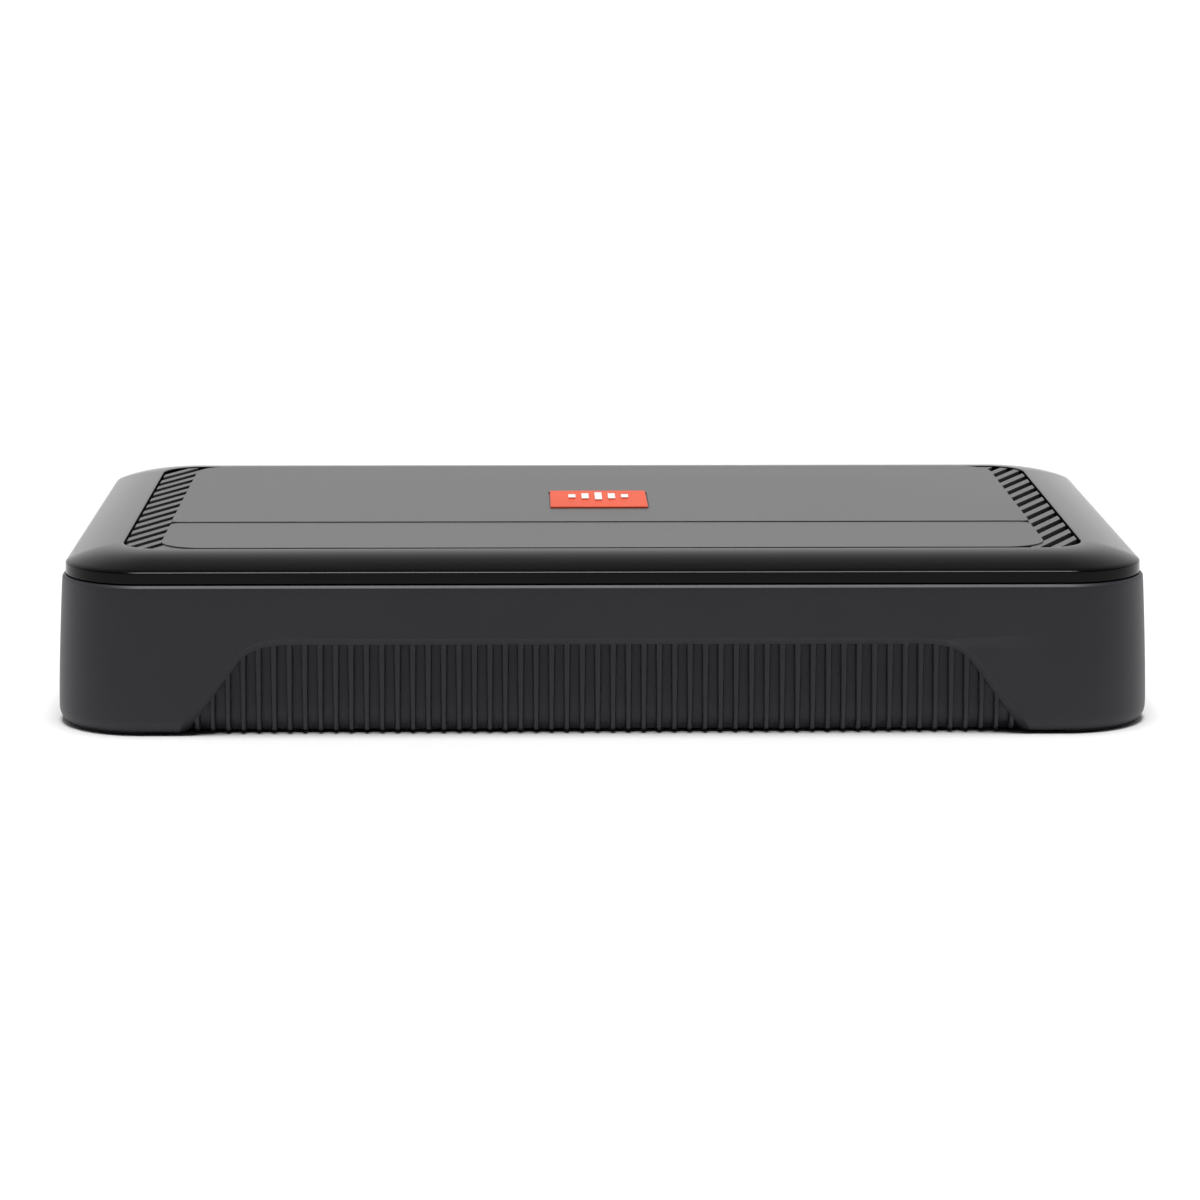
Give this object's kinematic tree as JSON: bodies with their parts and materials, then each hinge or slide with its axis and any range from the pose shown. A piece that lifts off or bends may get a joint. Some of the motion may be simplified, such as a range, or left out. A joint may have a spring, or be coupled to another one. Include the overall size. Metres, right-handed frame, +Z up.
{
  "type": "car amplifier",
  "caption": "Low rectangular car amplifier: black ribbed cast case on corner feet, gloss bezel and grey lift-off top with slotted vents and a small orange badge.",
  "frame": {"origin": "centre of the footprint, on the surface that the feet stand on", "axes": "+X along the length towards the power end, +Y towards the back long side, +Z up"},
  "size_m": [0.341, 0.213, 0.0561],
  "materials": {
    "cast_black": "satin black powder coat on die-cast aluminium",
    "gloss_black": "piano-black moulded plastic",
    "grey_satin": "fine-textured satin grey",
    "badge_orange": "orange-red, low gloss",
    "badge_white": "white",
    "foot_rubber": "black rubber",
    "bare_steel": "zinc-plated sheet",
    "circuit_board": "green solder mask",
    "copper_wire": "enamelled copper",
    "capacitor_sleeve": "printed shrink sleeve, left plain",
    "panel_black": "black sheet steel",
    "connector_black": "black moulding",
    "knob_black": "black moulding",
    "white_plastic": "natural white nylon",
    "nickel_plate": "nickel plated",
    "fuse_amber": "translucent amber",
    "lamp_green": "clear green lens",
    "lamp_red": "clear red lens"
  },
  "bodies": {
    "case": {"foot_front_left": "foot_rubber", "foot_front_right": "foot_rubber", "foot_rear_left": "foot_rubber", "foot_rear_right": "foot_rubber", "chassis": "cast_black", "base_plate": "bare_steel", "base_screw_front_left": "bare_steel", "base_screw_front_right": "bare_steel", "base_screw_rear_left": "bare_steel", "base_screw_rear_right": "bare_steel", "main_circuit_board": "circuit_board", "toroid_transformer": "copper_wire", "output_inductor": "copper_wire", "capacitor_1": "capacitor_sleeve", "capacitor_2": "capacitor_sleeve", "transistor_clamp_front": "bare_steel", "transistor_clamp_rear": "bare_steel", "input_panel": "panel_black", "rca_jack_block": "connector_black", "rca_jack_left": "nickel_plate", "rca_jack_right": "nickel_plate", "speaker_level_socket": "white_plastic", "remote_bass_socket": "connector_black", "gain_potentiometer": "bare_steel", "crossover_potentiometer": "bare_steel", "bass_boost_potentiometer": "bare_steel", "filter_switch": "bare_steel", "input_level_switch": "bare_steel", "power_lamp": "lamp_green", "protect_lamp": "lamp_red", "power_panel": "panel_black", "power_terminal_block": "connector_black", "speaker_terminal_block": "connector_black", "fuse_holder": "connector_black"},
    "top_cover": {"cover_bezel": "gloss_black", "cover_tray": "connector_black", "centre_plate": "grey_satin", "front_strip": "grey_satin", "vent_grille_left": "grey_satin", "vent_grille_right": "grey_satin", "badge_plate": "badge_orange", "badge_emblem": "badge_white"},
    "gain_knob": {"gain_knob": "knob_black"},
    "crossover_knob": {"crossover_knob": "knob_black"},
    "bass_boost_knob": {"bass_boost_knob": "knob_black"},
    "filter_slider": {"filter_slider": "white_plastic"},
    "input_level_slider": {"input_level_slider": "white_plastic"},
    "blade_fuse_1": {"blade_fuse_1": "fuse_amber"},
    "blade_fuse_2": {"blade_fuse_2": "fuse_amber"},
    "battery_clamp_screw": {"battery_clamp_screw": "nickel_plate"},
    "battery_clamp_cage": {"battery_clamp_cage": "nickel_plate"},
    "remote_clamp_screw": {"remote_clamp_screw": "nickel_plate"},
    "remote_clamp_cage": {"remote_clamp_cage": "nickel_plate"},
    "ground_clamp_screw": {"ground_clamp_screw": "nickel_plate"},
    "ground_clamp_cage": {"ground_clamp_cage": "nickel_plate"},
    "speaker_positive_clamp_screw": {"speaker_positive_clamp_screw": "nickel_plate"},
    "speaker_positive_clamp_cage": {"speaker_positive_clamp_cage": "nickel_plate"},
    "speaker_negative_clamp_screw": {"speaker_negative_clamp_screw": "nickel_plate"},
    "speaker_negative_clamp_cage": {"speaker_negative_clamp_cage": "nickel_plate"}
  },
  "joints": [
    {"name": "top_cover_lift", "type": "slide", "parent": "case", "child": "top_cover", "axis": [0, 0, 1], "range_m": [0, 0.06]},
    {"name": "gain_turn", "type": "hinge", "parent": "case", "child": "gain_knob", "pos_m": [-0.162, -0.042, 0.017], "axis": [-1, 0, 0], "range_deg": [-140, 140]},
    {"name": "crossover_turn", "type": "hinge", "parent": "case", "child": "crossover_knob", "pos_m": [-0.162, -0.054, 0.017], "axis": [-1, 0, 0], "range_deg": [-140, 140]},
    {"name": "bass_boost_turn", "type": "hinge", "parent": "case", "child": "bass_boost_knob", "pos_m": [-0.162, -0.066, 0.017], "axis": [-1, 0, 0], "range_deg": [-140, 140]},
    {"name": "filter_slide", "type": "slide", "parent": "case", "child": "filter_slider", "axis": [0, 1, 0], "range_m": [-0.0025, 0.0025]},
    {"name": "input_level_slide", "type": "slide", "parent": "case", "child": "input_level_slider", "axis": [0, 1, 0], "range_m": [-0.0025, 0.0025]},
    {"name": "fuse_1_pull", "type": "slide", "parent": "case", "child": "blade_fuse_1", "axis": [1, 0, 0], "range_m": [0, 0.03]},
    {"name": "fuse_2_pull", "type": "slide", "parent": "case", "child": "blade_fuse_2", "axis": [1, 0, 0], "range_m": [0, 0.03]},
    {"name": "battery_screw_turn", "type": "hinge", "parent": "case", "child": "battery_clamp_screw", "pos_m": [0.152, -0.058, 0.03], "axis": [0, 0, -1], "range_deg": [0, 2160]},
    {"name": "battery_cage_rise", "type": "slide", "parent": "case", "child": "battery_clamp_cage", "axis": [0, 0, 1], "range_m": [0, 0.0048]},
    {"name": "remote_screw_turn", "type": "hinge", "parent": "case", "child": "remote_clamp_screw", "pos_m": [0.152, -0.04, 0.03], "axis": [0, 0, -1], "range_deg": [0, 2160]},
    {"name": "remote_cage_rise", "type": "slide", "parent": "case", "child": "remote_clamp_cage", "axis": [0, 0, 1], "range_m": [0, 0.0048]},
    {"name": "ground_screw_turn", "type": "hinge", "parent": "case", "child": "ground_clamp_screw", "pos_m": [0.152, -0.022, 0.03], "axis": [0, 0, -1], "range_deg": [0, 2160]},
    {"name": "ground_cage_rise", "type": "slide", "parent": "case", "child": "ground_clamp_cage", "axis": [0, 0, 1], "range_m": [0, 0.0048]},
    {"name": "speaker_positive_screw_turn", "type": "hinge", "parent": "case", "child": "speaker_positive_clamp_screw", "pos_m": [0.153, 0.002, 0.026], "axis": [0, 0, -1], "range_deg": [0, 1800]},
    {"name": "speaker_positive_cage_rise", "type": "slide", "parent": "case", "child": "speaker_positive_clamp_cage", "axis": [0, 0, 1], "range_m": [0, 0.0035]},
    {"name": "speaker_negative_screw_turn", "type": "hinge", "parent": "case", "child": "speaker_negative_clamp_screw", "pos_m": [0.153, 0.018, 0.026], "axis": [0, 0, -1], "range_deg": [0, 1800]},
    {"name": "speaker_negative_cage_rise", "type": "slide", "parent": "case", "child": "speaker_negative_clamp_cage", "axis": [0, 0, 1], "range_m": [0, 0.0035]}
  ],
  "couplings": [
    {"joint": "battery_screw_turn", "follows": "battery_cage_rise", "rad_per_m": 7854},
    {"joint": "remote_screw_turn", "follows": "remote_cage_rise", "rad_per_m": 7854},
    {"joint": "ground_screw_turn", "follows": "ground_cage_rise", "rad_per_m": 7854},
    {"joint": "speaker_positive_screw_turn", "follows": "speaker_positive_cage_rise", "rad_per_m": 8976},
    {"joint": "speaker_negative_screw_turn", "follows": "speaker_negative_cage_rise", "rad_per_m": 8976}
  ]
}
